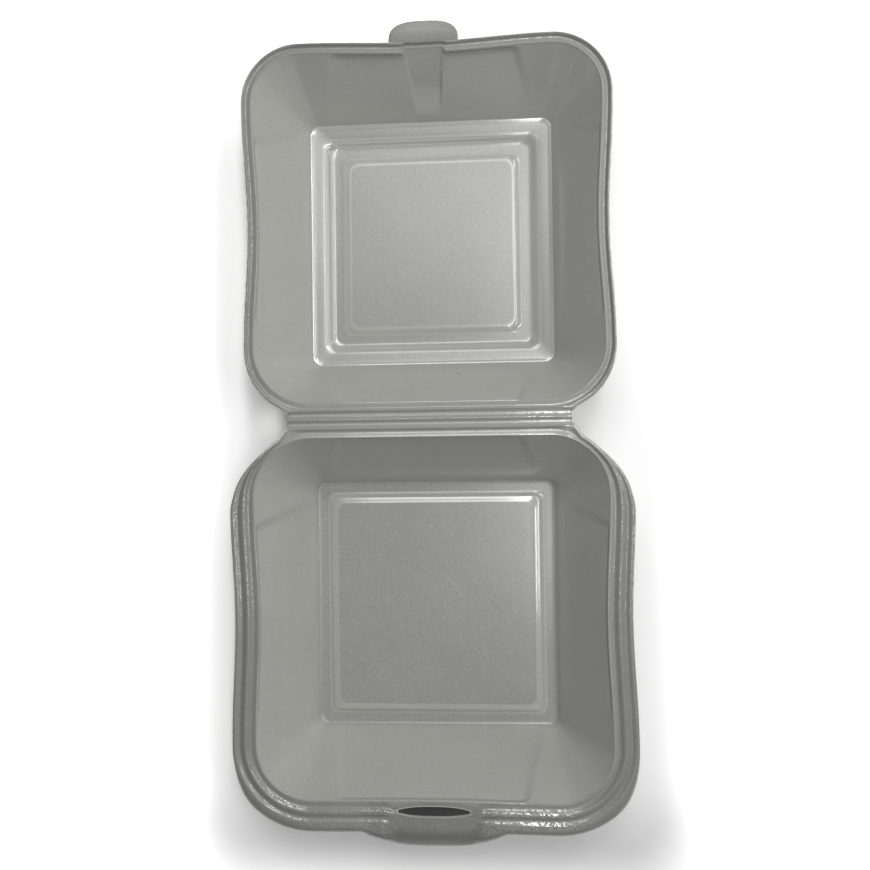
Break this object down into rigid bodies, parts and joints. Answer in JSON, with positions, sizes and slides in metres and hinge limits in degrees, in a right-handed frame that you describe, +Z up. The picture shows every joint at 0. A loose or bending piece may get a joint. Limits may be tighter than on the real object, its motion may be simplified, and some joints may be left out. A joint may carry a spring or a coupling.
{
  "type": "hamburger box",
  "caption": "Foam clamshell food box lying open: a deep base with a ridged rim, latch slot and pull tongue, and a lid with a tab, joined by a folding hinge strip.",
  "frame": {"origin": "on the table under the middle of the open box", "axes": "+Z up, +Y from the base across the hinge to the lid, +X along the hinge"},
  "size_m": [0.1626, 0.3308, 0.0375],
  "materials": {
    "foam": "grey foamed polystyrene sheet with a pearly, finely speckled skin"
  },
  "bodies": {
    "base": {"base": "foam"},
    "hinge_strip": {"hinge_strip": "foam"},
    "lid": {"lid": "foam"}
  },
  "joints": [
    {"name": "strip_fold", "type": "hinge", "parent": "base", "child": "hinge_strip", "pos_m": [0, 0.00445, 0.03585], "axis": [1, 0, 0], "range_deg": [0, 90]},
    {"name": "lid_hinge", "type": "hinge", "parent": "base", "child": "lid", "pos_m": [0, 0.00625, 0.03765], "axis": [1, 0, 0], "range_deg": [0, 180]}
  ],
  "couplings": [
    {"joint": "strip_fold", "follows": "lid_hinge", "ratio": 0.5}
  ]
}
